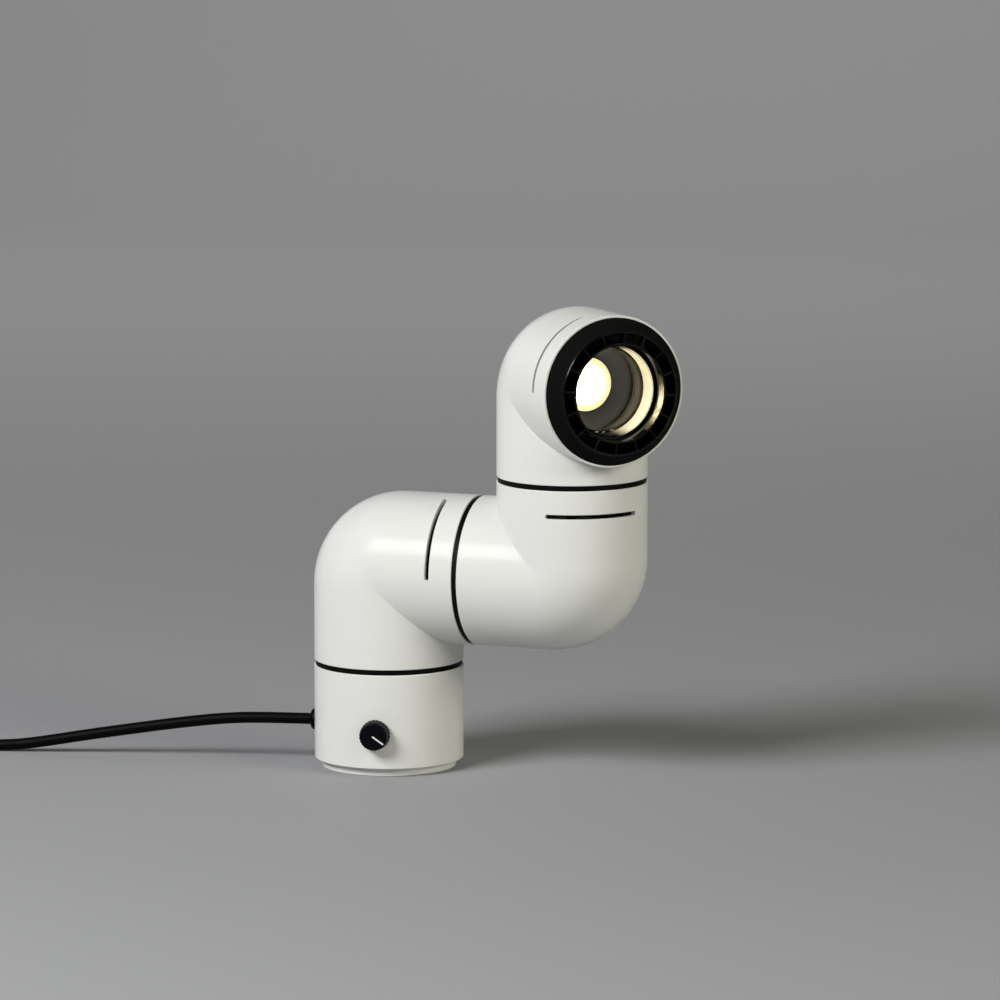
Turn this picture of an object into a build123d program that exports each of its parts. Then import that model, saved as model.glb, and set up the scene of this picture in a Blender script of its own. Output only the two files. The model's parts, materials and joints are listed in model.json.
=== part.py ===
from build123d import *
import os
from math import cos, radians, sin, tan

# Table spotlight: three equal elbows of 80 mm tube, which swivel on one another and on a round weighted base.
# Millimetres. The origin is the middle of the foot, on the table. +Z is up, and +X points along the arm.

# ---- driving dimensions ----------------------------------------------------------------------------------
# tube and elbows
TUBE_RADIUS = 40.0
WALL = 2.6
BORE_RADIUS = TUBE_RADIUS - WALL
LEG = 50.65                     # from where an elbow's two axes cross to either mouth
BEND_OFFSET = 9.8               # the bend turns about an axis this far from both tube axes
RIM_ROUND = 0.4
SEAT_RADIUS = 38.7              # step inside each mouth, which a ring or the nose sits in
SEAT_DEPTH = 3.0
SLOT_WIDTH = 2.4
SLOT_SETBACK = 13.7             # from the outlet mouth
SLOT_START = 15.8               # degrees from the outer middle line
SLOT_SWEEP = 73.3

# swivels
SWIVEL_GAP = 2.8
RING_RADIUS = 39.2
RING_THICKNESS = 2.7
WEB = 3.0
SKIRT_DEPTH = 3.0
SKIRT_WALL = 2.5
FIT = 0.05                      # clearance of pieces that are fixed together
RUN = 0.06                      # radial clearance of pieces that turn on each other
PIVOT_RADIUS = 5.0
PIVOT_BORE = 3.6
PIVOT_LOW = 10.0                # reach of the pivot below and above the lower mouth
PIVOT_HIGH = 13.0
NUT_WIDTH = 15.0
NUT_THICKNESS = 4.0
WASHER_RADIUS = 9.0
WASHER_THICKNESS = 0.7
WASHER_RISE = 0.6

# base
BASE_LOW = 4.65
BASE_TOP = 55.05
BASE_RADIUS = 40.1
BASE_TAPER = 0.2                # the drum's radius is this much less at its foot
FLOOR_THICKNESS = 2.8
FLOOR_OPENING = 8.0
FOOT_RADIUS = 36.0
FOOT_LOW = 0.15
FOOT_ROUND = 0.25
PAD_OUTER = 33.5
PAD_INNER = 21.0
PAD_THICKNESS = 1.5
BALLAST_RADIUS = 36.4
BALLAST_TOP = 47.0
BALLAST_BORE = 7.0
POCKET_FLOOR = 14.0
SCREW_CIRCLE = 14.0
SCREW_COUNT = 3
SCREW_RADIUS = 1.7
SCREW_HEAD = 3.2
SCREW_HEAD_HEIGHT = 1.8
SCREW_LENGTH = 10.0
COUNTERBORE = 2.4               # depth of the recess for each screw's head
CROSS_LENGTH = 4.4              # cross recess in each screw's head
CROSS_WIDTH = 0.9

# knob, potentiometer and lead
CONTROL_HEIGHT = 23.4
KNOB_AZIMUTH = -79.0
SPOT_FACE = 38.9                # distance of the flats under the knob and the gland from the base's axis
KNOB_SPOT = 6.4
KNOB_HOLE = 3.6
KNOB_BACK = 41.0
KNOB_FRONT = 48.0
KNOB_BACK_RADIUS = 8.1
KNOB_FRONT_RADIUS = 7.5
KNOB_FACE_RADIUS = 7.3          # inside the flutes
KNOB_FACE_DEPTH = 0.8
FLUTE_COUNT = 24
FLUTE_RADIUS = 0.7
FLUTE_DEPTH = 0.28
POINTER_TURN = -34.7            # degrees from the viewer's right, seen from in front of the knob
SHAFT_RADIUS = 3.0
GLAND_AZIMUTH = 191.0
GLAND_SPOT = 6.2
GLAND_HOLE = 4.6
GLAND_RADIUS = 5.95
GLAND_END = 42.6
GLAND_DOME = 2.6
CORD_RADIUS = 3.05
LEAD_RADIUS = 2.2

# head
HEAD_TURN = -45.0
NOSE_PROUD = 8.1
NOSE_RIM = 32.6
NOSE_SHOULDER = 33.6
NOSE_BORE = 25.2
WINDOW_COUNT = 16
WINDOW_INNER = 26.3
WINDOW_OUTER = 31.9
RIB_WIDTH = 0.9
RIB_DEPTH = 4.8
RIB_TURN = -4.3

# ---- where things stand ------------------------------------------------------------------------------------
ARM_HEIGHT = BASE_TOP + SWIVEL_GAP + LEG
COLUMN_X = LEG + SWIVEL_GAP + LEG
HEAD_HEIGHT = ARM_HEIGHT + LEG + SWIVEL_GAP + LEG
HEAD_DIRECTION = (cos(radians(HEAD_TURN)), sin(radians(HEAD_TURN)), 0)

# Elbows are drawn with the inlet leg along -Z and the outlet leg along +X from the origin.
LOWER_ELBOW = Plane((0, 0, ARM_HEIGHT))
UPPER_ELBOW = Plane((COLUMN_X, 0, ARM_HEIGHT), x_dir=(0, 0, 1), z_dir=(1, 0, 0))
HEAD = Plane((COLUMN_X, 0, HEAD_HEIGHT), x_dir=HEAD_DIRECTION, z_dir=(0, 0, 1))

# Swivels are drawn along +Z from the mouth of the piece that carries them.
BASE_SWIVEL = Plane((0, 0, BASE_TOP))
ELBOW_SWIVEL = Plane((LEG, 0, ARM_HEIGHT), x_dir=(0, 1, 0), z_dir=(1, 0, 0))
HEAD_SWIVEL = Plane((COLUMN_X, 0, ARM_HEIGHT + LEG))
SWIVELS = {"base": BASE_SWIVEL, "elbow": ELBOW_SWIVEL, "head": HEAD_SWIVEL}
MID_GAP = SWIVEL_GAP / 2        # the inner leads of two housings meet here


def facing_out(azimuth, distance, height=CONTROL_HEIGHT):
    """Plane that faces outwards from the base's axis, with its x to the viewer's right and its y up."""
    outward = Vector(cos(radians(azimuth)), sin(radians(azimuth)), 0)
    middle = outward * distance + Vector(0, 0, height)
    return Plane(middle, x_dir=Vector(0, 0, 1).cross(outward), z_dir=outward)


def keep(piece, name, place=Plane.XY):
    """Write one finished piece, set on its place."""
    placed = piece.moved(place.location)
    placed.label = name
    export_step(placed, f"parts/{name}.step")


def bent_tube(radius, mode=Mode.ADD):
    """Two straight legs and the quarter turn of the tube's outer side about the bend's axis."""
    straight = LEG - BEND_OFFSET
    with BuildSketch(Plane.XY.offset(-LEG)) as inlet:
        Circle(radius)
    extrude(inlet.sketch, amount=straight, mode=mode)
    with BuildSketch(Plane.YZ.offset(BEND_OFFSET)) as outlet:
        Circle(radius)
    extrude(outlet.sketch, amount=straight, mode=mode)
    with BuildSketch(Plane.XY.offset(-BEND_OFFSET)) as outer_side:
        Circle(radius)
        with Locations((BEND_OFFSET + radius, 0)):
            Rectangle(2 * radius, 2 * radius, mode=Mode.SUBTRACT)
    bend_axis = Axis((BEND_OFFSET, 0, -BEND_OFFSET), (0, 1, 0))
    revolve(outer_side.sketch, axis=bend_axis, revolution_arc=90, mode=mode)


def round_the_leg(angle):
    """Direction square to the outlet leg, at an angle from its outer middle line."""
    return Vector(0, sin(radians(angle)), cos(radians(angle)))


def corner_radii(route, share=0.45):
    """Arc radius at each corner of a lead's route: as large as its two straight runs allow."""
    points = [Vector(p) for p in route]
    radii = []
    for before, corner, after in zip(points, points[1:], points[2:]):
        first, second = corner - before, after - corner
        turn = radians(first.get_angle(second))
        radii.append(share * min(first.length, second.length) / tan(turn / 2))
    return radii


def round_lead(route, radius, radii):
    """Round lead along straight runs joined by arcs."""
    with BuildPart() as lead:
        with BuildLine() as path:
            FilletPolyline(*route, radius=radii)
        start = path.line ^ 0
        with BuildSketch(Plane(start.position, z_dir=path.line % 0)):
            Circle(radius)
        sweep(path=path.line)
    return lead.part


os.makedirs("parts", exist_ok=True)

# ---- elbows --------------------------------------------------------------------------------------------------
with BuildPart() as elbow_shell:
    bent_tube(TUBE_RADIUS)
    fillet(elbow_shell.faces().filter_by(GeomType.PLANE).edges(), RIM_ROUND)
    bent_tube(BORE_RADIUS, mode=Mode.SUBTRACT)
    for mouth in (Plane.XY.offset(-LEG), -Plane.YZ.offset(LEG)):
        with BuildSketch(mouth):
            Circle(SEAT_RADIUS)
        extrude(amount=SEAT_DEPTH, mode=Mode.SUBTRACT)
    for side in (1, -1):
        start = round_the_leg(side * SLOT_START)
        across = Plane((0, 0, 0), x_dir=(1, 0, 0), z_dir=Vector(1, 0, 0).cross(start))
        with BuildSketch(across):
            with Locations((LEG - SLOT_SETBACK, TUBE_RADIUS - WALL / 2)):
                Rectangle(SLOT_WIDTH, WALL + 1)
        revolve(axis=Axis((0, 0, 0), (-side, 0, 0)), revolution_arc=SLOT_SWEEP, mode=Mode.SUBTRACT)
        for end in (SLOT_START, SLOT_START + SLOT_SWEEP):
            with BuildSketch(Plane((LEG - SLOT_SETBACK, 0, 0), z_dir=round_the_leg(side * end))):
                Circle(SLOT_WIDTH / 2)
            extrude(amount=TUBE_RADIUS + 1, mode=Mode.SUBTRACT)

keep(elbow_shell.part, "lower_elbow_shell", LOWER_ELBOW)
keep(elbow_shell.part, "upper_elbow_shell", UPPER_ELBOW)
keep(elbow_shell.part, "head_shell", HEAD)

# ---- swivels -------------------------------------------------------------------------------------------------
WEB_UNDERSIDE = RING_THICKNESS - WEB

with BuildPart() as swivel_disc:
    with BuildSketch(Plane.XZ):
        with BuildLine():
            Polyline(
                (PIVOT_RADIUS + FIT, RING_THICKNESS),
                (PIVOT_RADIUS + FIT, WEB_UNDERSIDE),
                (BORE_RADIUS - SKIRT_WALL, WEB_UNDERSIDE),
                (BORE_RADIUS - SKIRT_WALL, -SEAT_DEPTH - SKIRT_DEPTH),
                (BORE_RADIUS - FIT, -SEAT_DEPTH - SKIRT_DEPTH),
                (BORE_RADIUS - FIT, -SEAT_DEPTH),
                (SEAT_RADIUS - FIT, -SEAT_DEPTH),
                (SEAT_RADIUS - FIT, 0),
                (RING_RADIUS, 0),
                (RING_RADIUS, RING_THICKNESS),
                close=True,
            )
        make_face()
    revolve(axis=Axis.Z)

with BuildPart() as inlet_plate:
    with BuildSketch(Plane.XZ):
        with BuildLine():
            Polyline(
                (PIVOT_RADIUS + RUN, SWIVEL_GAP),
                (SEAT_RADIUS - FIT, SWIVEL_GAP),
                (SEAT_RADIUS - FIT, SWIVEL_GAP + SEAT_DEPTH),
                (BORE_RADIUS - FIT, SWIVEL_GAP + SEAT_DEPTH),
                (BORE_RADIUS - FIT, SWIVEL_GAP + SEAT_DEPTH + SKIRT_DEPTH),
                (BORE_RADIUS - SKIRT_WALL, SWIVEL_GAP + SEAT_DEPTH + SKIRT_DEPTH),
                (BORE_RADIUS - SKIRT_WALL, SWIVEL_GAP + WEB),
                (PIVOT_RADIUS + RUN, SWIVEL_GAP + WEB),
                close=True,
            )
        make_face()
    revolve(axis=Axis.Z)

with BuildPart() as pivot_tube:
    with BuildSketch(Plane.XY.offset(-PIVOT_LOW)):
        Circle(PIVOT_RADIUS)
        Circle(PIVOT_BORE, mode=Mode.SUBTRACT)
    extrude(amount=PIVOT_LOW + PIVOT_HIGH)

WASHER_BOTTOM = SWIVEL_GAP + WEB + 0.1
UPPER_NUT_BOTTOM = WASHER_BOTTOM + WASHER_RISE + WASHER_THICKNESS

with BuildPart() as spring_washer:
    with BuildSketch(Plane.XZ):
        with BuildLine():
            Polyline(
                (PIVOT_RADIUS + FIT, UPPER_NUT_BOTTOM - WASHER_THICKNESS),
                (WASHER_RADIUS, WASHER_BOTTOM),
                (WASHER_RADIUS, WASHER_BOTTOM + WASHER_THICKNESS),
                (PIVOT_RADIUS + FIT, UPPER_NUT_BOTTOM),
                close=True,
            )
        make_face()
    revolve(axis=Axis.Z)

with BuildPart() as pivot_nuts:
    for bottom in (WEB_UNDERSIDE - NUT_THICKNESS, UPPER_NUT_BOTTOM):
        with BuildSketch(Plane.XY.offset(bottom)):
            RegularPolygon(NUT_WIDTH / 2, 6, major_radius=False)
            Circle(PIVOT_RADIUS + FIT, mode=Mode.SUBTRACT)
        extrude(amount=NUT_THICKNESS)

for name, swivel in SWIVELS.items():
    keep(swivel_disc.part, f"{name}_swivel_disc", swivel)
    keep(pivot_tube.part, f"{name}_pivot_tube", swivel)
    keep(spring_washer.part, f"{name}_spring_washer", swivel)
    keep(pivot_nuts.part, f"{name}_pivot_nuts", swivel)
for name, swivel in zip(("lower", "upper", "head"), SWIVELS.values()):
    keep(inlet_plate.part, f"{name}_inlet_plate", swivel)

# ---- base ----------------------------------------------------------------------------------------------------
BASE_FLOOR = BASE_LOW + FLOOR_THICKNESS
BASE_FOOT_RADIUS = BASE_RADIUS - BASE_TAPER
SCREW_SEAT = FOOT_LOW + COUNTERBORE

with BuildPart() as base_shell:
    with BuildSketch(Plane.XZ) as drum_wall:
        with BuildLine():
            Polyline(
                (FLOOR_OPENING, BASE_LOW),
                (BASE_FOOT_RADIUS, BASE_LOW),
                (BASE_RADIUS, BASE_TOP),
                (SEAT_RADIUS, BASE_TOP),
                (SEAT_RADIUS, BASE_TOP - SEAT_DEPTH),
                (BORE_RADIUS, BASE_TOP - SEAT_DEPTH),
                (BASE_FOOT_RADIUS - WALL, BASE_FLOOR),
                (FLOOR_OPENING, BASE_FLOOR),
                close=True,
            )
        make_face()
        outer_corners = drum_wall.vertices().group_by(Axis.X)[-2:]
        fillet([corners[-1] for corners in outer_corners], RIM_ROUND)
    revolve(axis=Axis.Z)
    with BuildSketch(Plane.XY.offset(BASE_LOW)):
        with PolarLocations(SCREW_CIRCLE, SCREW_COUNT):
            Circle(SCREW_RADIUS + 0.2)
    extrude(amount=FLOOR_THICKNESS, mode=Mode.SUBTRACT)
    for azimuth, flat, hole in ((KNOB_AZIMUTH, KNOB_SPOT, KNOB_HOLE), (GLAND_AZIMUTH, GLAND_SPOT, GLAND_HOLE)):
        with BuildSketch(facing_out(azimuth, SPOT_FACE)):
            Circle(flat)
        extrude(amount=BASE_RADIUS + 1 - SPOT_FACE, mode=Mode.SUBTRACT)
        with BuildSketch(facing_out(azimuth, SPOT_FACE)):
            Circle(hole)
        extrude(amount=-2 * WALL, mode=Mode.SUBTRACT)
keep(base_shell.part, "base_shell")

with BuildPart() as foot_plate:
    with BuildSketch(Plane.XY.offset(FOOT_LOW)):
        Circle(FOOT_RADIUS)
    extrude(amount=BASE_LOW - FOOT_LOW)
    fillet(foot_plate.edges().filter_by(GeomType.CIRCLE).group_by(Axis.Z)[0], FOOT_ROUND)
    with BuildSketch(Plane.XY.offset(FOOT_LOW)):
        Circle(PAD_OUTER)
        Circle(PAD_INNER, mode=Mode.SUBTRACT)
    extrude(amount=PAD_THICKNESS - FOOT_LOW, mode=Mode.SUBTRACT)
    with Locations(Plane.XY.offset(FOOT_LOW).rotated((180, 0, 0))):
        with PolarLocations(SCREW_CIRCLE, SCREW_COUNT):
            CounterBoreHole(SCREW_RADIUS + 0.1, SCREW_HEAD + 0.3, COUNTERBORE)
keep(foot_plate.part, "foot_plate")

with BuildPart() as foot_pad:
    with BuildSketch():
        Circle(PAD_OUTER - FIT)
        Circle(PAD_INNER + FIT, mode=Mode.SUBTRACT)
    extrude(amount=PAD_THICKNESS)
keep(foot_pad.part, "foot_pad")

with BuildPart() as cover_screws:
    with BuildSketch(Plane.XY.offset(SCREW_SEAT)):
        with PolarLocations(SCREW_CIRCLE, SCREW_COUNT):
            Circle(SCREW_HEAD)
    extrude(amount=-SCREW_HEAD_HEIGHT)
    with BuildSketch(Plane.XY.offset(SCREW_SEAT)):
        with PolarLocations(SCREW_CIRCLE, SCREW_COUNT):
            Circle(SCREW_RADIUS)
    extrude(amount=SCREW_LENGTH)
    with BuildSketch(Plane.XY.offset(SCREW_SEAT - SCREW_HEAD_HEIGHT)):
        with PolarLocations(SCREW_CIRCLE, SCREW_COUNT):
            Rectangle(CROSS_LENGTH, CROSS_WIDTH)
            Rectangle(CROSS_WIDTH, CROSS_LENGTH)
    extrude(amount=SCREW_HEAD_HEIGHT / 2, mode=Mode.SUBTRACT)
keep(cover_screws.part, "cover_screws")

BOARD_AZIMUTH = 60.0
# Each pocket in the ballast: direction, distance of its middle, depth outwards, width.
POCKETS = (
    (KNOB_AZIMUTH, 28.0, 22.0, 18.5),
    (GLAND_AZIMUTH, 28.0, 22.0, 15.0),
    (BOARD_AZIMUTH, 24.0, 13.0, 36.0),
)
POCKET_HEIGHT = BALLAST_TOP - POCKET_FLOOR
NUT_POCKET_RADIUS = 10.5
NUT_POCKET_DEPTH = 6.0
BOARD_DISTANCE = 18.5
BOARD_WIDTH = 34.0
BOARD_THICKNESS = 1.6
LEAD_TURN_HEIGHT = 37.0
TROUGH_WIDTH = 7.0              # way for the inner lead, from the bore to the board
TROUGH_LENGTH = 20.0
TROUGH_FLOOR = LEAD_TURN_HEIGHT - TROUGH_WIDTH / 2
with BuildPart() as ballast_weight:
    with BuildSketch(Plane.XY.offset(BASE_FLOOR)):
        Circle(BALLAST_RADIUS)
        Circle(BALLAST_BORE, mode=Mode.SUBTRACT)
        with PolarLocations(SCREW_CIRCLE, SCREW_COUNT):
            Circle(SCREW_RADIUS, mode=Mode.SUBTRACT)
    extrude(amount=POCKET_FLOOR - BASE_FLOOR)
    with BuildSketch(Plane.XY.offset(POCKET_FLOOR)):
        Circle(BALLAST_RADIUS)
        Circle(BALLAST_BORE, mode=Mode.SUBTRACT)
        for azimuth, distance, depth, width in POCKETS:
            with PolarLocations(distance, 1, start_angle=azimuth):
                Rectangle(depth, width, mode=Mode.SUBTRACT)
    extrude(amount=POCKET_HEIGHT)
    with BuildSketch(Plane.XY.offset(BALLAST_TOP)):
        Circle(NUT_POCKET_RADIUS)
    extrude(amount=-NUT_POCKET_DEPTH, mode=Mode.SUBTRACT)
    with BuildSketch(Plane.XY.offset(TROUGH_FLOOR)):
        with PolarLocations(BOARD_DISTANCE / 2, 1, start_angle=BOARD_AZIMUTH):
            Rectangle(TROUGH_LENGTH, TROUGH_WIDTH)
    extrude(amount=BALLAST_TOP - TROUGH_FLOOR, mode=Mode.SUBTRACT)
keep(ballast_weight.part, "ballast_weight")

BOARD_FACE = facing_out(BOARD_AZIMUTH, BOARD_DISTANCE, (POCKET_FLOOR + BALLAST_TOP) / 2)
BOARD_FRONT = BOARD_FACE.offset(BOARD_THICKNESS)
with BuildPart() as dimmer_board:
    with BuildSketch(BOARD_FACE):
        RectangleRounded(BOARD_WIDTH, POCKET_HEIGHT - 1, 1)
    extrude(amount=BOARD_THICKNESS)
keep(dimmer_board.part, "dimmer_board")

# Blocks on the board: place, width, height, how far they stand out. Capacitor, triac, terminals, fuse.
BOARD_BLOCKS = (
    ((-9.0, 3.0), 13.0, 11.0, 8.0),
    ((10.0, -8.0), 9.0, 5.0, 5.0),
    ((-1.0, -10.0), 7.0, 4.0, 5.0),
    ((-11.0, -10.0), 8.0, 4.0, 5.0),
)
CHOKE_PLACE = (8.0, 6.0)
CHOKE_OUTER = 5.0
CHOKE_INNER = 1.8
CHOKE_HEIGHT = 6.0
with BuildPart() as board_parts:
    for place, width, height, depth in BOARD_BLOCKS:
        with BuildSketch(BOARD_FRONT):
            with Locations(place):
                RectangleRounded(width, height, 0.5)
        extrude(amount=depth)
    with BuildSketch(BOARD_FRONT):
        with Locations(CHOKE_PLACE):
            Circle(CHOKE_OUTER)
            Circle(CHOKE_INNER, mode=Mode.SUBTRACT)
    extrude(amount=CHOKE_HEIGHT)
keep(board_parts.part, "board_parts")

# ---- dimmer --------------------------------------------------------------------------------------------------
CAN_BACK = 27.0
CAN_FRONT = 36.0
CAN_RADIUS = 8.2
BUSH_RADIUS = 3.5
BUSH_END = 42.4
SHAFT_START = 34.0
SHAFT_END = 46.8
SHAFT_FLAT = 2.0                # distance of the shaft's flat from its axis
POT_NUT_WIDTH = 10.0
POT_NUT_THICKNESS = 2.0
KNOB_RECESS_RADIUS = 6.2        # hollow back of the knob, round the nut
KNOB_RECESS_DEPTH = 2.5


def on_knob_axis(distance):
    return facing_out(KNOB_AZIMUTH, distance)


KNOB_AXIS = Axis((0, 0, CONTROL_HEIGHT), on_knob_axis(0).z_dir)


with BuildPart() as dimmer_pot:
    with BuildSketch(on_knob_axis(CAN_BACK)):
        Circle(CAN_RADIUS)
    extrude(amount=CAN_FRONT - CAN_BACK)
    with BuildSketch(on_knob_axis(CAN_FRONT)):
        Circle(BUSH_RADIUS)
    extrude(amount=BUSH_END - CAN_FRONT)
    with BuildSketch(on_knob_axis(BUSH_END)):
        Circle(SHAFT_RADIUS + RUN)
    extrude(amount=SHAFT_START - BUSH_END - 0.5, mode=Mode.SUBTRACT)
keep(dimmer_pot.part, "dimmer_pot")

with BuildPart() as pot_nut:
    with BuildSketch(on_knob_axis(SPOT_FACE)):
        RegularPolygon(POT_NUT_WIDTH / 2, 6, major_radius=False)
        Circle(BUSH_RADIUS + FIT, mode=Mode.SUBTRACT)
    extrude(amount=POT_NUT_THICKNESS)
keep(pot_nut.part, "pot_nut")

with BuildPart() as pot_shaft:
    with BuildSketch(on_knob_axis(SHAFT_START)):
        Circle(SHAFT_RADIUS)
    extrude(amount=SHAFT_END - SHAFT_START)
    with BuildSketch(on_knob_axis(SHAFT_END)):
        with Locations((0, SHAFT_FLAT + SHAFT_RADIUS)):
            Rectangle(3 * SHAFT_RADIUS, 2 * SHAFT_RADIUS)
    extrude(amount=BUSH_END + 0.4 - SHAFT_END, mode=Mode.SUBTRACT)
keep(pot_shaft.part, "pot_shaft")

POINTER_START = -0.5
POINTER_END = 6.8
POINTER_WIDTH = 0.9
POINTER_DEPTH = 0.6
POINTER_PROUD = 0.08
knob_face = on_knob_axis(KNOB_FRONT)
pointer_way = knob_face.x_dir * cos(radians(POINTER_TURN)) + knob_face.y_dir * sin(radians(POINTER_TURN))
POINTER_PLACE = Plane(knob_face.origin, x_dir=pointer_way, z_dir=knob_face.z_dir)
with BuildPart() as dimmer_knob:
    for distance, radius in ((KNOB_BACK, KNOB_BACK_RADIUS), (KNOB_FRONT - KNOB_FACE_DEPTH, KNOB_FRONT_RADIUS)):
        with BuildSketch(on_knob_axis(distance)):
            Circle(radius)
            with PolarLocations(radius + FLUTE_RADIUS - FLUTE_DEPTH, FLUTE_COUNT):
                Circle(FLUTE_RADIUS, mode=Mode.SUBTRACT)
    loft(ruled=True)
    with BuildSketch(on_knob_axis(KNOB_FRONT - KNOB_FACE_DEPTH)):
        Circle(KNOB_FACE_RADIUS - FLUTE_DEPTH)
    extrude(amount=KNOB_FACE_DEPTH)
    fillet(dimmer_knob.edges().filter_by(GeomType.CIRCLE).sort_by(KNOB_AXIS)[-1], 0.75 * KNOB_FACE_DEPTH)
    with BuildSketch(on_knob_axis(KNOB_BACK)):
        Circle(KNOB_RECESS_RADIUS)
    extrude(amount=KNOB_RECESS_DEPTH, mode=Mode.SUBTRACT)
    with BuildSketch(on_knob_axis(SHAFT_END)):
        Circle(SHAFT_RADIUS + FIT)
        with Locations((0, SHAFT_FLAT + FIT + SHAFT_RADIUS)):
            Rectangle(3 * SHAFT_RADIUS, 2 * SHAFT_RADIUS, mode=Mode.SUBTRACT)
    extrude(amount=KNOB_BACK - SHAFT_END, mode=Mode.SUBTRACT)
    with BuildSketch(POINTER_PLACE):
        with Locations(((POINTER_START + POINTER_END) / 2, 0)):
            Rectangle(POINTER_END - POINTER_START, POINTER_WIDTH)
    extrude(amount=-POINTER_DEPTH, mode=Mode.SUBTRACT)
keep(dimmer_knob.part, "dimmer_knob")

with BuildPart() as knob_pointer:
    with BuildSketch(POINTER_PLACE.offset(FIT - POINTER_DEPTH)):
        with Locations(((POINTER_START + POINTER_END) / 2, 0)):
            Rectangle(POINTER_END - POINTER_START - 2 * FIT, POINTER_WIDTH - 2 * FIT)
    extrude(amount=POINTER_DEPTH - FIT + POINTER_PROUD)
keep(knob_pointer.part, "knob_pointer")

# ---- gland and mains lead ------------------------------------------------------------------------------------
INNER_CORD_START = 21.0
GLAND_SLEEVE = 4.5              # radius of the gland's threaded part, through the wall
GLAND_REACH = 8.0
GLAND_NUT_WIDTH = 12.4
GLAND_NUT_FACE = 36.3
GLAND_NUT_THICKNESS = 3.0
CLAMP_FACE = 29.0
CLAMP_TOP = 30.0
CLAMP_WIDTH = 13.0
CLAMP_THICKNESS = 5.0


def on_gland_axis(distance):
    return facing_out(GLAND_AZIMUTH, distance)


GLAND_AXIS = Axis((0, 0, CONTROL_HEIGHT), on_gland_axis(0).z_dir)


with BuildPart() as cord_gland:
    with BuildSketch(on_gland_axis(SPOT_FACE)):
        Circle(GLAND_RADIUS)
    extrude(amount=GLAND_END - SPOT_FACE)
    fillet(cord_gland.edges().filter_by(GeomType.CIRCLE).sort_by(GLAND_AXIS)[-1], GLAND_DOME)
    with BuildSketch(on_gland_axis(SPOT_FACE)):
        Circle(GLAND_SLEEVE)
    extrude(amount=-GLAND_REACH)
    with BuildSketch(on_gland_axis(GLAND_END)):
        Circle(CORD_RADIUS + FIT)
    extrude(amount=SPOT_FACE - GLAND_REACH - GLAND_END, mode=Mode.SUBTRACT)
keep(cord_gland.part, "cord_gland")

with BuildPart() as gland_nut:
    with BuildSketch(on_gland_axis(GLAND_NUT_FACE)):
        RegularPolygon(GLAND_NUT_WIDTH / 2, 6, major_radius=False)
        Circle(GLAND_SLEEVE + FIT, mode=Mode.SUBTRACT)
    extrude(amount=-GLAND_NUT_THICKNESS)
keep(gland_nut.part, "gland_nut")

with BuildPart() as cord_clamp:
    with BuildSketch(on_gland_axis(CLAMP_FACE)):
        with Locations((0, (POCKET_FLOOR + CLAMP_TOP) / 2 - CONTROL_HEIGHT)):
            RectangleRounded(CLAMP_WIDTH, CLAMP_TOP - POCKET_FLOOR, 1.5)
        Circle(CORD_RADIUS + FIT, mode=Mode.SUBTRACT)
    extrude(amount=-CLAMP_THICKNESS)
keep(cord_clamp.part, "cord_clamp")

with BuildPart() as inner_cord:
    with BuildSketch(on_gland_axis(INNER_CORD_START)):
        Circle(CORD_RADIUS)
    extrude(amount=GLAND_END - INNER_CORD_START)
keep(inner_cord.part, "inner_cord")

# The lead leaves the gland, comes down to the table in a shallow curve, and runs on to its coil.
COIL_CENTRE = (-293.2, -16.2)
COIL_LARGEST = 45.4             # radius of the outermost turn's middle line, and of the innermost
COIL_SMALLEST = 24.8
CORD_ROUTE = [
    tuple(on_gland_axis(GLAND_END).origin),
    tuple(on_gland_axis(62.0).origin),
    (-84.6, -15.9, 22.7),
    (-112.1, -20.8, 19.1),
    (-139.6, -26.0, 14.6),
    (-163.2, -30.2, 10.6),
    (-184.9, -34.4, 6.5),
    (-206.0, -38.0, CORD_RADIUS),
    (-243.0, -46.5, CORD_RADIUS),
    (-278.4, -59.1, CORD_RADIUS),
]
cord_radii = corner_radii(CORD_ROUTE)
print("cord_run radii", [round(r, 1) for r in cord_radii])
keep(round_lead(CORD_ROUTE, CORD_RADIUS, cord_radii), "cord_run")


def beside_coil(angle, radius, height):
    """Point at an angle round the coil."""
    return (
        COIL_CENTRE[0] + radius * cos(radians(angle)),
        COIL_CENTRE[1] + radius * sin(radians(angle)),
        height,
    )


# Seven turns in two layers: spiralling inwards on the table, and outwards again on top.
UPPER_TURNS = 9.2
with BuildPart() as cord_coil:
    with BuildSketch(Plane.XZ):
        with Locations(((COIL_SMALLEST + COIL_LARGEST) / 2, (UPPER_TURNS + CORD_RADIUS) / 2)):
            RectangleRounded(
                COIL_LARGEST - COIL_SMALLEST + 2 * CORD_RADIUS, UPPER_TURNS + CORD_RADIUS, 0.9 * CORD_RADIUS
            )
    revolve(axis=Axis.Z)
keep(cord_coil.part, "cord_coil", Plane((*COIL_CENTRE, 0)))

PLUG_CENTRE = 6.85              # height of the plug's middle as it lies flat
TAIL_ROUTE = [
    beside_coil(309.0, COIL_LARGEST, UPPER_TURNS),
    beside_coil(281.0, 47.2, 9.3),
    beside_coil(253.0, 52.5, 8.6),
    beside_coil(230.0, 57.5, 7.4),
    beside_coil(210.0, 61.0, PLUG_CENTRE),
    beside_coil(193.0, 62.8, PLUG_CENTRE),
    beside_coil(180.0, 63.8, PLUG_CENTRE),
]
tail_radii = corner_radii(TAIL_ROUTE)
print("cord_tail radii", [round(r, 1) for r in tail_radii])
keep(round_lead(TAIL_ROUTE, CORD_RADIUS, tail_radii), "cord_tail")

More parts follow.
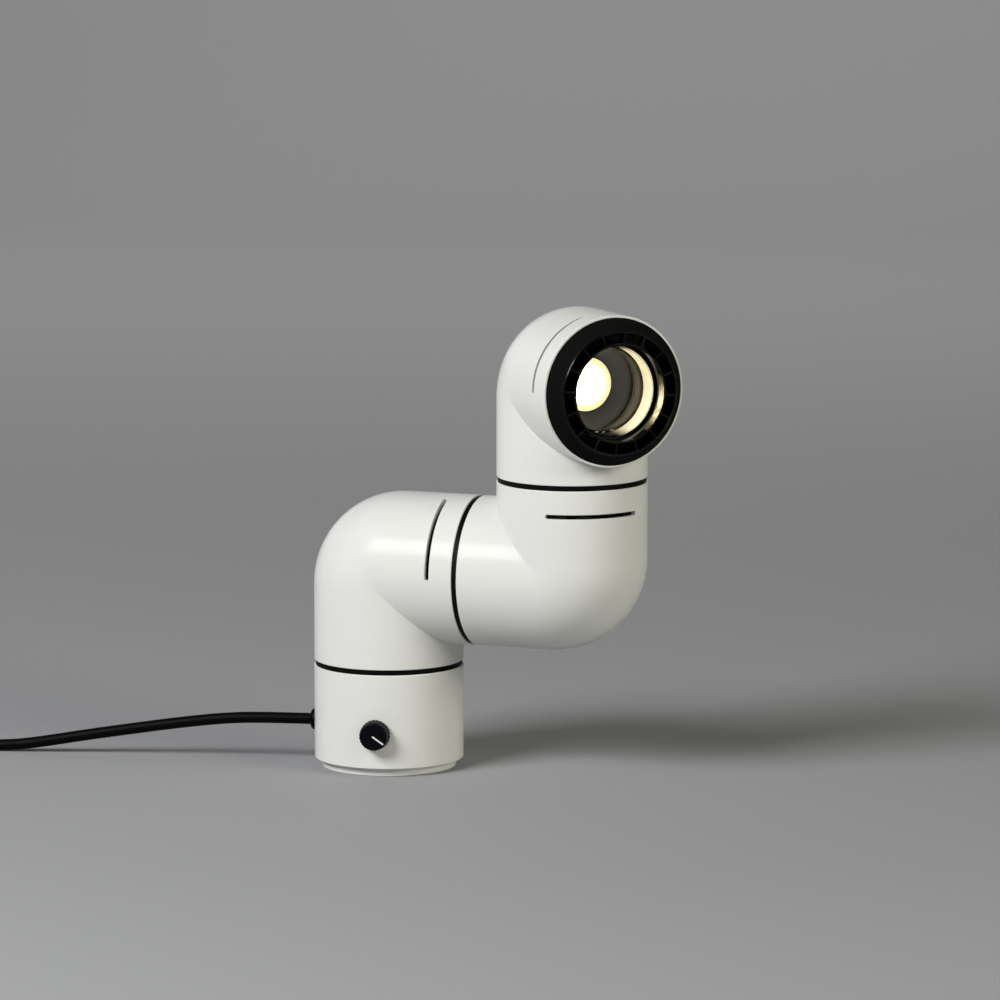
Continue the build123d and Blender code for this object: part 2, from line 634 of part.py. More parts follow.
# Flat two-pin plug, lying beside the coil.
tail_end = Vector(TAIL_ROUTE[-1])
tail_heading = tail_end - Vector(TAIL_ROUTE[-2])
flat_heading = Vector(tail_heading.X, tail_heading.Y, 0).normalized()
PLUG_PLACE = Plane(tail_end, x_dir=flat_heading.cross(Vector(0, 0, 1)), z_dir=flat_heading)
RELIEF_LENGTH = 20.0
RELIEF_THIN = 3.9
RELIEF_THICK = 5.6
PLUG_LENGTH = 34.0
PLUG_WIDTH = 25.6
PLUG_ROUND = 4.0
NECK_LENGTH = 12.0
NECK_WIDTH = 15.0
NECK_HEIGHT = 11.5
NECK_ROUND = 3.0
PIN_LENGTH = 19.0
PIN_SPACING = 18.6
PIN_THICKNESS = 4.0
PIN_ROOT = 12.0                 # length of each pin inside the plug
with BuildPart() as plug_body:
    with BuildSketch(PLUG_PLACE):
        Circle(RELIEF_THIN)
    with BuildSketch(PLUG_PLACE.offset(RELIEF_LENGTH)):
        Circle(RELIEF_THICK)
    loft()
    with BuildSketch(PLUG_PLACE.offset(RELIEF_LENGTH)):
        RectangleRounded(NECK_WIDTH, NECK_HEIGHT, NECK_ROUND)
    with BuildSketch(PLUG_PLACE.offset(RELIEF_LENGTH + NECK_LENGTH)):
        RectangleRounded(PLUG_WIDTH, 2 * PLUG_CENTRE, PLUG_ROUND)
    loft()
    with BuildSketch(PLUG_PLACE.offset(RELIEF_LENGTH + NECK_LENGTH)):
        RectangleRounded(PLUG_WIDTH, 2 * PLUG_CENTRE, PLUG_ROUND)
    extrude(amount=PLUG_LENGTH - NECK_LENGTH)
    with BuildSketch(PLUG_PLACE.offset(RELIEF_LENGTH + PLUG_LENGTH)):
        with GridLocations(PIN_SPACING, 0, 2, 1):
            Circle(PIN_THICKNESS / 2)
    extrude(amount=-PIN_ROOT, mode=Mode.SUBTRACT)
keep(plug_body.part, "plug_body")

with BuildPart() as plug_pins:
    with BuildSketch(PLUG_PLACE.offset(RELIEF_LENGTH + PLUG_LENGTH - PIN_ROOT)):
        with GridLocations(PIN_SPACING, 0, 2, 1):
            Circle(PIN_THICKNESS / 2)
    extrude(amount=PIN_ROOT + PIN_LENGTH)
    pin_ends = plug_pins.edges().filter_by(GeomType.CIRCLE).group_by(Axis(tail_end, flat_heading))[-1]
    fillet(pin_ends, PIN_THICKNESS / 4)
keep(plug_pins.part, "plug_pins")

# ---- lamp in the head, drawn along +X like the head's outlet leg -------------------------------------------------
NOSE_FRONT = LEG + NOSE_PROUD
NOSE_WALL = 2.2
LENS_FRONT = LEG - 12.0
BRACKET_FRONT = LEG - 2 * SEAT_DEPTH
BOSS_SPACING = 66.4
BOSS_RADIUS = 2.9
BOSS_LENGTH = 7.0
BOSS_SCREW_RADIUS = 1.3
with BuildPart() as front_nose:
    with BuildSketch(Plane.XZ):
        with BuildLine():
            Polyline(
                (NOSE_FRONT, NOSE_BORE),
                (NOSE_FRONT, NOSE_RIM - 0.4),
                (NOSE_FRONT - 0.5, NOSE_RIM),
                (NOSE_FRONT - 3.5, NOSE_SHOULDER),
                (LEG, SEAT_RADIUS - FIT),
                (LEG - SEAT_DEPTH, SEAT_RADIUS - FIT),
                (LEG - SEAT_DEPTH, BORE_RADIUS - FIT),
                (BRACKET_FRONT, BORE_RADIUS - FIT),
                (BRACKET_FRONT, BORE_RADIUS - NOSE_WALL),
                (LEG - 0.9, BORE_RADIUS - NOSE_WALL),
                (NOSE_FRONT - RIB_DEPTH, WINDOW_OUTER),
                (NOSE_FRONT - RIB_DEPTH, WINDOW_INNER),
                (LENS_FRONT, WINDOW_INNER),
                (LENS_FRONT, NOSE_BORE),
                close=True,
            )
        make_face()
    revolve(axis=Axis.X)
    with BuildSketch(Plane.YZ.offset(NOSE_FRONT)):
        Circle(WINDOW_OUTER)
        Circle(WINDOW_INNER, mode=Mode.SUBTRACT)
        with PolarLocations((WINDOW_INNER + WINDOW_OUTER) / 2, WINDOW_COUNT, start_angle=RIB_TURN):
            Rectangle(2 * (WINDOW_OUTER - WINDOW_INNER), RIB_WIDTH, mode=Mode.SUBTRACT)
    extrude(amount=-RIB_DEPTH, mode=Mode.SUBTRACT)
    with BuildSketch(Plane.YZ.offset(BRACKET_FRONT)):
        with GridLocations(BOSS_SPACING, 0, 2, 1):
            Circle(BOSS_RADIUS)
    extrude(amount=BOSS_LENGTH)
    with BuildSketch(Plane.YZ.offset(BRACKET_FRONT)):
        with GridLocations(BOSS_SPACING, 0, 2, 1):
            Circle(BOSS_SCREW_RADIUS)
    extrude(amount=BOSS_LENGTH - 0.5, mode=Mode.SUBTRACT)
keep(front_nose.part, "front_nose", HEAD)

BULB_RIM = LEG - 2.0
BULB_BACK = -1.0
LENS_THICKNESS = 2.2
LENS_BACK = LENS_FRONT - LENS_THICKNESS
EMITTER_THICKNESS = 1.5
EMITTER_FRONT = 16.8
EMITTER_BACK = EMITTER_FRONT - EMITTER_THICKNESS
EMITTER_RADIUS = 14.2
CUP_RADIUS = 23.1
CUP_WALL = 0.8
CUP_FOOT = LENS_BACK - 0.6      # where the straight cup goes over into the reflector's bowl
with BuildPart() as bulb_housing:
    with BuildSketch(Plane.XZ):
        with BuildLine():
            Polyline(
                (BULB_BACK, 0),
                (BULB_BACK, 12.5),
                (2, 15),
                (12, 17.6),
                (22, 20.6),
                (CUP_FOOT, 24.8),
                (BULB_RIM, 25.0),
                (BULB_RIM, CUP_RADIUS + CUP_WALL + FIT),
                (CUP_FOOT, CUP_RADIUS + CUP_WALL + FIT),
                (EMITTER_BACK, EMITTER_RADIUS + 1.2),
                (EMITTER_BACK, 0),
                close=True,
            )
        make_face()
    revolve(axis=Axis.X)
keep(bulb_housing.part, "bulb_housing", HEAD)

BOWL_BACK = EMITTER_FRONT - 1.0
BOWL_BACK_RADIUS = EMITTER_RADIUS + 0.1
BOWL_FRONT_RADIUS = CUP_RADIUS - 1.2
with BuildPart() as bulb_reflector:
    with BuildSketch(Plane.XZ):
        with BuildLine():
            Polyline(
                (LENS_BACK, BOWL_FRONT_RADIUS),
                (LENS_BACK, CUP_RADIUS),
                (BULB_RIM, CUP_RADIUS),
                (BULB_RIM, CUP_RADIUS + CUP_WALL),
                (CUP_FOOT, CUP_RADIUS + CUP_WALL),
                (BOWL_BACK, BOWL_BACK_RADIUS + CUP_WALL),
                (BOWL_BACK, BOWL_BACK_RADIUS),
            )
            ThreePointArc((BOWL_BACK, BOWL_BACK_RADIUS), (26.0, 18.9), (LENS_BACK, BOWL_FRONT_RADIUS))
        make_face()
    revolve(axis=Axis.X)
keep(bulb_reflector.part, "bulb_reflector", HEAD)

with BuildPart() as bulb_lens:
    with BuildSketch(Plane.YZ.offset(LENS_BACK)):
        Circle(CUP_RADIUS - FIT)
    extrude(amount=LENS_THICKNESS)
    fillet(bulb_lens.edges().group_by(Axis.X)[-1], 1)
keep(bulb_lens.part, "bulb_lens", HEAD)

with BuildPart() as bulb_emitter:
    with BuildSketch(Plane.YZ.offset(EMITTER_BACK)):
        Circle(EMITTER_RADIUS)
    extrude(amount=EMITTER_THICKNESS)
keep(bulb_emitter.part, "bulb_emitter", HEAD)

HOLDER_FRONT = -4.2
HOLDER_BACK = -25.0
HOLDER_RADIUS = 13.0
HOLDER_HOLE_DEPTH = 9.0
HOLDER_SCREW_GAP = 18.0
HOLDER_SCREW_RADIUS = 1.2
PIN_GAP = 10.0                  # between the two contact pins of the bulb
PIN_RADIUS = 1.5
PIN_NECK = 6.0
PIN_HEAD_RADIUS = 2.4
PIN_HEAD_LENGTH = 3.0
PIN_HOLE = PIN_HEAD_RADIUS + 0.5
with BuildPart() as bulb_pins:
    with BuildSketch(Plane.YZ.offset(BULB_BACK)):
        with GridLocations(PIN_GAP, 0, 2, 1):
            Circle(PIN_RADIUS)
    extrude(amount=-PIN_NECK)
    with BuildSketch(Plane.YZ.offset(BULB_BACK - PIN_NECK)):
        with GridLocations(PIN_GAP, 0, 2, 1):
            Circle(PIN_HEAD_RADIUS)
    extrude(amount=-PIN_HEAD_LENGTH)
keep(bulb_pins.part, "bulb_pins", HEAD)

with BuildPart() as lamp_holder:
    with BuildSketch(Plane.YZ.offset(HOLDER_FRONT)):
        Circle(HOLDER_RADIUS)
    extrude(amount=HOLDER_BACK - HOLDER_FRONT)
    fillet(lamp_holder.edges().group_by(Axis.X)[0], 3)
    with BuildSketch(Plane.YZ.offset(HOLDER_FRONT)):
        with GridLocations(PIN_GAP, 0, 2, 1):
            Circle(PIN_HOLE)
        with GridLocations(0, HOLDER_SCREW_GAP, 1, 2):
            Circle(HOLDER_SCREW_RADIUS)
    extrude(amount=-HOLDER_HOLE_DEPTH, mode=Mode.SUBTRACT)
keep(lamp_holder.part, "lamp_holder", HEAD)

STRAP = 1.2
STRAP_WIDTH = 9.0
STRAP_HOLE = 1.4
ARM_OUTER = 30.6
TAB_LENGTH = 6.4
TAB_FACE = BRACKET_FRONT - STRAP
BRIDGE_HEIGHT = 24.0
TAB_SCREW_HEAD = 2.4
TAB_SCREW_HEIGHT = 1.6
HOLDER_SCREW_HEAD = 2.2
HOLDER_SCREW_HEIGHT = 1.4
HOLDER_SCREW_LENGTH = 8.0
with BuildPart() as lamp_bracket:
    with BuildSketch(Plane.YZ.offset(HOLDER_FRONT)):
        Rectangle(2 * ARM_OUTER, BRIDGE_HEIGHT)
        with GridLocations(PIN_GAP, 0, 2, 1):
            Circle(PIN_HOLE + 0.5, mode=Mode.SUBTRACT)
        with GridLocations(0, HOLDER_SCREW_GAP, 1, 2):
            Circle(STRAP_HOLE, mode=Mode.SUBTRACT)
    extrude(amount=STRAP)
    for side in (1, -1):
        with BuildSketch(Plane.XZ.offset(side * ARM_OUTER)):
            with Locations(((HOLDER_FRONT + BRACKET_FRONT) / 2, 0)):
                Rectangle(BRACKET_FRONT - HOLDER_FRONT, STRAP_WIDTH)
        extrude(amount=-side * STRAP)
        with BuildSketch(Plane.YZ.offset(TAB_FACE)):
            with Locations((side * BOSS_SPACING / 2, 0)):
                Rectangle(TAB_LENGTH, STRAP_WIDTH)
                Circle(STRAP_HOLE, mode=Mode.SUBTRACT)
        extrude(amount=STRAP)
keep(lamp_bracket.part, "lamp_bracket", HEAD)

with BuildPart() as bracket_screws:
    with BuildSketch(Plane.YZ.offset(TAB_FACE)):
        with GridLocations(BOSS_SPACING, 0, 2, 1):
            Circle(TAB_SCREW_HEAD)
    extrude(amount=-TAB_SCREW_HEIGHT)
    with BuildSketch(Plane.YZ.offset(TAB_FACE)):
        with GridLocations(BOSS_SPACING, 0, 2, 1):
            Circle(BOSS_SCREW_RADIUS - FIT)
    extrude(amount=BOSS_LENGTH - 0.5)
    with BuildSketch(Plane.YZ.offset(HOLDER_FRONT + STRAP)):
        with GridLocations(0, HOLDER_SCREW_GAP, 1, 2):
            Circle(HOLDER_SCREW_HEAD)
    extrude(amount=HOLDER_SCREW_HEIGHT)
    with BuildSketch(Plane.YZ.offset(HOLDER_FRONT + STRAP)):
        with GridLocations(0, HOLDER_SCREW_GAP, 1, 2):
            Circle(HOLDER_SCREW_RADIUS - FIT)
    extrude(amount=-HOLDER_SCREW_LENGTH)
keep(bracket_screws.part, "bracket_screws", HEAD)

# ---- inner lead, one length in each housing ---------------------------------------------------------------------
board_way = Vector(cos(radians(BOARD_AZIMUTH)), sin(radians(BOARD_AZIMUTH)), 0)
BASE_LEAD = [
    (0, 0, BASE_TOP + MID_GAP),
    (0, 0, LEAD_TURN_HEIGHT),
    tuple(board_way * BOARD_DISTANCE + Vector(0, 0, LEAD_TURN_HEIGHT)),
]
ELBOW_LEAD = [(0, 0, -LEG - MID_GAP), (0, 0, 0), (LEG + MID_GAP, 0, 0)]
HEAD_LEAD = [(0, 0, -LEG - MID_GAP), (0, 0, -34), (-30.5, 0, -20), (-30.5, 0, 0), (HOLDER_BACK, 0, 0)]
keep(round_lead(BASE_LEAD, LEAD_RADIUS, [6]), "base_lead")
keep(round_lead(ELBOW_LEAD, LEAD_RADIUS, [36]), "lower_lead", LOWER_ELBOW)
keep(round_lead(ELBOW_LEAD, LEAD_RADIUS, [36]), "upper_lead", UPPER_ELBOW)
keep(round_lead(HEAD_LEAD, LEAD_RADIUS, [9, 8, 4]), "head_lead", HEAD)
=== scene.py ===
"""Finishes, mains lead, small trim, floor, lights and camera of the swivel spotlight."""
import json
import math

import bpy
from mathutils import Matrix, Vector


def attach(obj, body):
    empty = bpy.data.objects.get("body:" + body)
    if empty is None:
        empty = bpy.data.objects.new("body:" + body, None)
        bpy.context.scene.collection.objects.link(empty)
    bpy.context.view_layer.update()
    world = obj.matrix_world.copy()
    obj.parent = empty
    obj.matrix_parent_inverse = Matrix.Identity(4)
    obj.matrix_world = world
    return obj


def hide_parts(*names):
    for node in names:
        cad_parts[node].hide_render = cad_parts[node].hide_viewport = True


MM = 0.001

# ---- sizes, in metres --------------------------------------------------------------------------
LEG = 50.65 * MM                # from where an elbow's two axes cross to either mouth
SWIVEL_GAP = 2.8 * MM
BASE_TOP = 55.05 * MM
CORD_DIAMETER = 6.1 * MM

HEAD_MIDDLE = Vector((2 * LEG + SWIVEL_GAP, 0, BASE_TOP + 3 * LEG + 2 * SWIVEL_GAP))
HEAD_DIRECTION = Vector((math.cos(math.radians(-45)), math.sin(math.radians(-45)), 0))
HEAD_RIGHT = Vector((-HEAD_DIRECTION.y, HEAD_DIRECTION.x, 0))   # for a viewer who faces the mouth

# Along the head's axis, from its middle.
EMITTER_FRONT = 16.8 * MM
# Painted shade in the head's mouth: where it starts and where it is full.
PAINTED_SHADE_STARTS = 20 * MM
PAINTED_SHADE_IN_FULL = 22 * MM
LENS_FRONT = 38.65 * MM
COLLAR_DEPTH = 0.4 * MM

# Away from the head's axis.
EMITTER_RADIUS = 14.2 * MM
NOSE_RIM = 32.6 * MM
NOSE_RIM_BLUR = 0.3 * MM
# The painted shade in the head's mouth stops at this radius.
MOUTH_RADIUS = 38.72 * MM
MOUTH_BLUR = 0.1 * MM

# To the right of the head's axis: where the painted highlight on the bulb's collar starts and where it is
# full.
PAINTED_LIGHT_STARTS = 2 * MM
PAINTED_LIGHT_IN_FULL = 14 * MM

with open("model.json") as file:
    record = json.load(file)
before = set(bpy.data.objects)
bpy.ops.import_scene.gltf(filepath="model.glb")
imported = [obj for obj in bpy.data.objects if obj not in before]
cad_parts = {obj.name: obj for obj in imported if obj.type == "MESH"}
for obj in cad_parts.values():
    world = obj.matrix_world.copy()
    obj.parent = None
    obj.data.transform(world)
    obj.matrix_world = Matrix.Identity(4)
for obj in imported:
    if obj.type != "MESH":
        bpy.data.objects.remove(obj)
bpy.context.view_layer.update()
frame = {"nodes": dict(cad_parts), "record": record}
nodes = frame["nodes"]


# ---- node tools --------------------------------------------------------------------------------
NUMBER = "NodeSocketFloat"
COUNT = "NodeSocketInt"
COLOUR = "NodeSocketColor"
FINISH = "NodeSocketMaterial"
SHAPE = "NodeSocketGeometry"


def link(tree, outlet, inlet):
    """Join an output socket to an input socket."""
    tree.links.new(outlet, inlet)


def feed(tree, value, inlet):
    """Give an input socket a value, or join it to the socket that the value comes from."""
    if isinstance(value, bpy.types.NodeSocket):
        link(tree, value, inlet)
    else:
        inlet.default_value = value


def add(tree, kind, **settings):
    """Add a node and set its properties, or its input sockets by name."""
    node = tree.nodes.new(kind)
    for name, value in settings.items():
        if hasattr(node, name):
            setattr(node, name, value)
        else:
            node.inputs[name.replace("_", " ")].default_value = value
    return node


def new_tree(kind, name, inputs, outputs):
    """Empty node tree with its sockets made, and its two end nodes."""
    tree = bpy.data.node_groups.new(name, kind)
    for label, (socket_type, value) in inputs.items():
        socket = tree.interface.new_socket(label, in_out="INPUT", socket_type=socket_type)
        if value is not None:
            socket.default_value = value
    for label, socket_type in outputs.items():
        tree.interface.new_socket(label, in_out="OUTPUT", socket_type=socket_type)
    return tree, tree.nodes.new("NodeGroupInput"), tree.nodes.new("NodeGroupOutput")


def place_group(tree, group):
    """Place a shader group in a material."""
    node = tree.nodes.new("ShaderNodeGroup")
    node.node_tree = group
    return node


def object_place(tree):
    """Socket with the surface point's own coordinates."""
    return tree.nodes.new("ShaderNodeTexCoord").outputs["Object"]


def math_node(tree, operation, first, second):
    """Result of a Math node on two values, each a socket or a number."""
    node = add(tree, "ShaderNodeMath", operation=operation)
    for inlet, value in zip(node.inputs, (first, second)):
        feed(tree, value, inlet)
    return node.outputs["Value"]


def vector_node(tree, operation, *values):
    """Vector Math node on one or two vectors, each a socket or a fixed vector."""
    node = add(tree, "ShaderNodeVectorMath", operation=operation)
    for inlet, value in zip(node.inputs, values):
        feed(tree, value, inlet)
    return node


def ramp_between(tree, value, low, high):
    """Smooth mask that is 0 where value is under low and 1 where it is over high."""
    mask = add(tree, "ShaderNodeMapRange", interpolation_type="SMOOTHSTEP", From_Min=low, From_Max=high)
    link(tree, value, mask.inputs["Value"])
    return mask.outputs["Result"]


def mix_colours(tree, factor, first, second):
    """Colour between two, each given as a value or a socket."""
    mix = add(tree, "ShaderNodeMix", data_type="RGBA")
    link(tree, factor, mix.inputs["Factor"])
    for inlet, colour in ((mix.inputs["A"], first), (mix.inputs["B"], second)):
        feed(tree, colour if isinstance(colour, bpy.types.NodeSocket) else (*colour, 1), inlet)
    return mix.outputs["Result"]


# ---- effects that several materials share ------------------------------------------------------
def make_moulded_surface():
    """Surface of a moulded piece: broad mottling, faint ripple, fine grain and dust in its gloss."""
    tree, start, end = new_tree(
        "ShaderNodeTree",
        "moulded surface",
        {
            "Colour": (COLOUR, (0.8, 0.8, 0.8, 1)),
            "Mottle": (NUMBER, 0.03),
            "Roughness": (NUMBER, 0.3),
            "Roughness Spread": (NUMBER, 0.05),
            "Ripple Scale": (NUMBER, 40.0),
            "Grain Scale": (NUMBER, 900.0),
            "Grain": (NUMBER, 0.5),
        },
        {"Colour": COLOUR, "Roughness": NUMBER, "Height": NUMBER},
    )
    place = object_place(tree)
    broad = add(tree, "ShaderNodeTexNoise", Detail=3.0)
    link(tree, place, broad.inputs["Vector"])
    link(tree, start.outputs["Ripple Scale"], broad.inputs["Scale"])
    fine = add(tree, "ShaderNodeTexNoise", Detail=4.0, Roughness=0.6)
    link(tree, place, fine.inputs["Vector"])
    link(tree, start.outputs["Grain Scale"], fine.inputs["Scale"])
    noise_middle = 0.5
    broad_swing = math_node(tree, "SUBTRACT", broad.outputs["Fac"], noise_middle)
    fine_swing = math_node(tree, "SUBTRACT", fine.outputs["Fac"], noise_middle)

    shade = math_node(tree, "MULTIPLY", broad_swing, start.outputs["Mottle"])
    tint = vector_node(tree, "SCALE", start.outputs["Colour"])
    link(tree, math_node(tree, "ADD", shade, 1.0), tint.inputs["Scale"])
    link(tree, tint.outputs["Vector"], end.inputs["Colour"])

    dust = math_node(tree, "ADD", fine_swing, broad_swing)
    dust = math_node(tree, "MULTIPLY", dust, start.outputs["Roughness Spread"])
    link(tree, math_node(tree, "ADD", dust, start.outputs["Roughness"]), end.inputs["Roughness"])

    grain = math_node(tree, "MULTIPLY", fine.outputs["Fac"], start.outputs["Grain"])
    link(tree, math_node(tree, "ADD", grain, broad.outputs["Fac"]), end.inputs["Height"])
    return tree


def make_head_axis():
    """Where a point lies from the head's middle: along its axis, away from it and to its right."""
    outputs = {"Along": NUMBER, "Radius": NUMBER, "Right": NUMBER}
    tree, start, end = new_tree("ShaderNodeTree", "head axis", {}, outputs)
    from_middle = vector_node(tree, "SUBTRACT", object_place(tree), HEAD_MIDDLE).outputs["Vector"]
    along = vector_node(tree, "DOT_PRODUCT", from_middle, HEAD_DIRECTION)
    right = vector_node(tree, "DOT_PRODUCT", from_middle, HEAD_RIGHT)
    across = vector_node(tree, "CROSS_PRODUCT", from_middle, HEAD_DIRECTION)
    radius = vector_node(tree, "LENGTH", across.outputs["Vector"])
    link(tree, along.outputs["Value"], end.inputs["Along"])
    link(tree, radius.outputs["Value"], end.inputs["Radius"])
    link(tree, right.outputs["Value"], end.inputs["Right"])
    return tree


MOULDED = make_moulded_surface()
HEAD_AXIS = make_head_axis()


# ---- materials ---------------------------------------------------------------------------------
def new_material(name):
    """Named material, its tree and its shader."""
    material = bpy.data.materials.new(name)
    material.use_nodes = True
    return material, material.node_tree, material.node_tree.nodes["Principled BSDF"]


def add_relief(tree, shader, height, depth):
    """Raise the surface by a height from 0 to 1, times a depth in metres."""
    relief = add(tree, "ShaderNodeBump", Strength=1.0, Distance=depth)
    link(tree, height, relief.inputs["Height"])
    link(tree, relief.outputs["Normal"], shader.inputs["Normal"])
    return relief


def moulded(name, colour, roughness=0.3, bump=0.1 * MM, metallic=0.0, specular=0.5, edge=0.0, **values):
    """Finish of a moulded, cast or plated piece.

    bump is the relief's depth and edge the radius that rounds the shading of its edges. The other
    values go to the sockets of the moulded surface.
    """
    material, tree, shader = new_material(name)
    surface = place_group(tree, MOULDED)
    surface.inputs["Colour"].default_value = (*colour, 1)
    surface.inputs["Roughness"].default_value = roughness
    for label, value in values.items():
        surface.inputs[label.replace("_", " ").title()].default_value = value
    relief = add_relief(tree, shader, surface.outputs["Height"], bump)
    if edge:
        rounded = add(tree, "ShaderNodeBevel", samples=8, Radius=edge)
        link(tree, rounded.outputs["Normal"], relief.inputs["Normal"])
    link(tree, surface.outputs["Colour"], shader.inputs["Base Color"])
    link(tree, surface.outputs["Roughness"], shader.inputs["Roughness"])
    shader.inputs["Metallic"].default_value = metallic
    shader.inputs["Specular IOR Level"].default_value = specular
    return material


def paint_mouth_shade(material):
    """Paint shade into the head's mouth round the nose: the shell is painted black deep within the
    mouth's radius, where shade falls.
    """
    painted_mouth_shade = (0.004, 0.004, 0.004)
    tree = material.node_tree
    base_colour = tree.nodes["Principled BSDF"].inputs["Base Color"]
    shell_colour = base_colour.links[0].from_socket
    axis = place_group(tree, HEAD_AXIS)
    deep = ramp_between(tree, axis.outputs["Along"], PAINTED_SHADE_STARTS, PAINTED_SHADE_IN_FULL)
    outside = ramp_between(tree, axis.outputs["Radius"], MOUTH_RADIUS, MOUTH_RADIUS + MOUTH_BLUR)
    # Painted shade: black deep in the mouth and within its radius.
    painted_shade_mask = math_node(tree, "MULTIPLY", deep, math_node(tree, "SUBTRACT", 1.0, outside))
    link(tree, mix_colours(tree, painted_shade_mask, shell_colour, painted_mouth_shade), base_colour)


def roughen_cone(material, added_roughness):
    """Make the nose's outer cone more matt than its face."""
    tree = material.node_tree
    roughness = tree.nodes["Principled BSDF"].inputs["Roughness"]
    face_roughness = roughness.links[0].from_socket
    axis = place_group(tree, HEAD_AXIS)
    inner, outer = NOSE_RIM - NOSE_RIM_BLUR, NOSE_RIM + NOSE_RIM_BLUR
    cone = ramp_between(tree, axis.outputs["Radius"], inner, outer)
    extra = math_node(tree, "MULTIPLY", cone, added_roughness)
    link(tree, math_node(tree, "ADD", face_roughness, extra), roughness)


white_shell = moulded(
    "white shell", (0.787, 0.785, 0.752), roughness=0.19, roughness_spread=0.05, specular=0.1,
    bump=0.02 * MM, mottle=0.03, ripple_scale=55.0, grain_scale=700.0, grain=0.25, edge=0.6 * MM,
)
# Painted shade: the shell deep in the head's mouth is painted black.
paint_mouth_shade(white_shell)
black_ring = moulded(
    "black ring", (0.002, 0.002, 0.002), roughness=0.5, specular=0.08, bump=0.04 * MM, grain=0.8,
)
black_nose = moulded(
    "black nose", (0.0008, 0.0006, 0.0005), roughness=0.1, roughness_spread=0.06, specular=0.16,
    bump=0.01 * MM, grain=0.4, edge=0.2 * MM,
)
roughen_cone(black_nose, added_roughness=0.8)
black_knob = moulded(
    "black knob", (0.002, 0.002, 0.003), roughness=0.42, specular=0.08,
    bump=0.06 * MM, grain=1.0, edge=0.3 * MM,
)
pointer_white = moulded("pointer white", (0.8, 0.82, 0.84), roughness=0.4, bump=0.02 * MM)
black_gland = moulded(
    "black gland", (0.0015, 0.0015, 0.002), roughness=0.35, specular=0.07,
    bump=0.05 * MM, grain=1.0, edge=0.3 * MM,
)
black_lead = moulded(
    "black lead", (0.0015, 0.0015, 0.002), roughness=0.5, specular=0.06,
    bump=0.08 * MM, grain=1.0, ripple_scale=160.0,
)
black_plug = moulded(
    "black plug", (0.003, 0.003, 0.0035), roughness=0.46, specular=0.15,
    bump=0.1 * MM, grain=1.0, ripple_scale=120.0,
)
foot_rubber = moulded("foot rubber", (0.02, 0.02, 0.02), roughness=0.75, bump=0.2 * MM, grain=1.0)
inner_white_lead = moulded("inner white lead", (0.7, 0.7, 0.67), roughness=0.45, bump=0.1 * MM)
pin_brass = moulded(
    "pin brass", (0.72, 0.6, 0.36), roughness=0.25, roughness_spread=0.2, metallic=1.0,
    bump=0.03 * MM, grain_scale=1500.0,
)
plated_steel = moulded(
    "plated steel", (0.6, 0.6, 0.58), roughness=0.3, roughness_spread=0.2, metallic=1.0,
    bump=0.03 * MM, grain_scale=1500.0,
)
cast_weight = moulded(
    "cast weight", (0.07, 0.07, 0.07), roughness=0.6, metallic=0.7,
    bump=0.6 * MM, mottle=0.3, grain_scale=500.0, grain=1.5,
)
board_green = moulded("board green", (0.02, 0.13, 0.06), roughness=0.35, bump=0.05 * MM)
board_dark = moulded("board parts", (0.04, 0.04, 0.045), roughness=0.5, bump=0.05 * MM, mottle=0.4)
bulb_body = moulded("bulb body", (0.006, 0.005, 0.0045), roughness=0.5, specular=0.15, bump=0.04 * MM)
holder_ceramic = moulded(
    "holder ceramic", (0.7, 0.68, 0.62), roughness=0.55,
    bump=0.2 * MM, mottle=0.08, grain_scale=1200.0, grain=1.0,
)


def make_bulb_glass():
    """Clear front of the bulb."""
    material, tree, shader = new_material("bulb glass")
    shader.inputs["Base Color"].default_value = (0.95, 0.94, 0.91, 1)
    shader.inputs["Roughness"].default_value = 0.02
    shader.inputs["IOR"].default_value = 1.49
    shader.inputs["Transmission Weight"].default_value = 1.0
    ripple = add(tree, "ShaderNodeTexNoise", Scale=120.0, Detail=2.0)
    link(tree, object_place(tree), ripple.inputs["Vector"])
    add_relief(tree, shader, ripple.outputs["Fac"], 0.02 * MM)
    return material


def make_bulb_glow():
    """Lit face of the bulb: fine cells, brightest in the middle and warmer towards the rim."""
    middle_glow = (1.0, 0.86, 0.56)
    rim_glow = (0.024, 0.0215, 0.0125)
    cell_edge_glow = (0.0195, 0.0162, 0.0085)
    rim_starts = 0.3 * EMITTER_RADIUS
    rim_in_full = 0.85 * EMITTER_RADIUS
    material, tree, shader = new_material("bulb glow")
    axis = place_group(tree, HEAD_AXIS)
    cells = add(tree, "ShaderNodeTexVoronoi", Scale=1100.0)
    link(tree, object_place(tree), cells.inputs["Vector"])
    rim = ramp_between(tree, axis.outputs["Radius"], rim_starts, rim_in_full)
    cell_edge = ramp_between(tree, cells.outputs["Distance"], 0.2, 0.8)
    glow = mix_colours(tree, rim, middle_glow, rim_glow)
    glow = mix_colours(tree, cell_edge, glow, cell_edge_glow)
    link(tree, glow, shader.inputs["Emission Color"])
    shader.inputs["Base Color"].default_value = (0.9, 0.75, 0.4, 1)
    shader.inputs["Roughness"].default_value = 0.5
    shader.inputs["Emission Strength"].default_value = 50.0
    return material


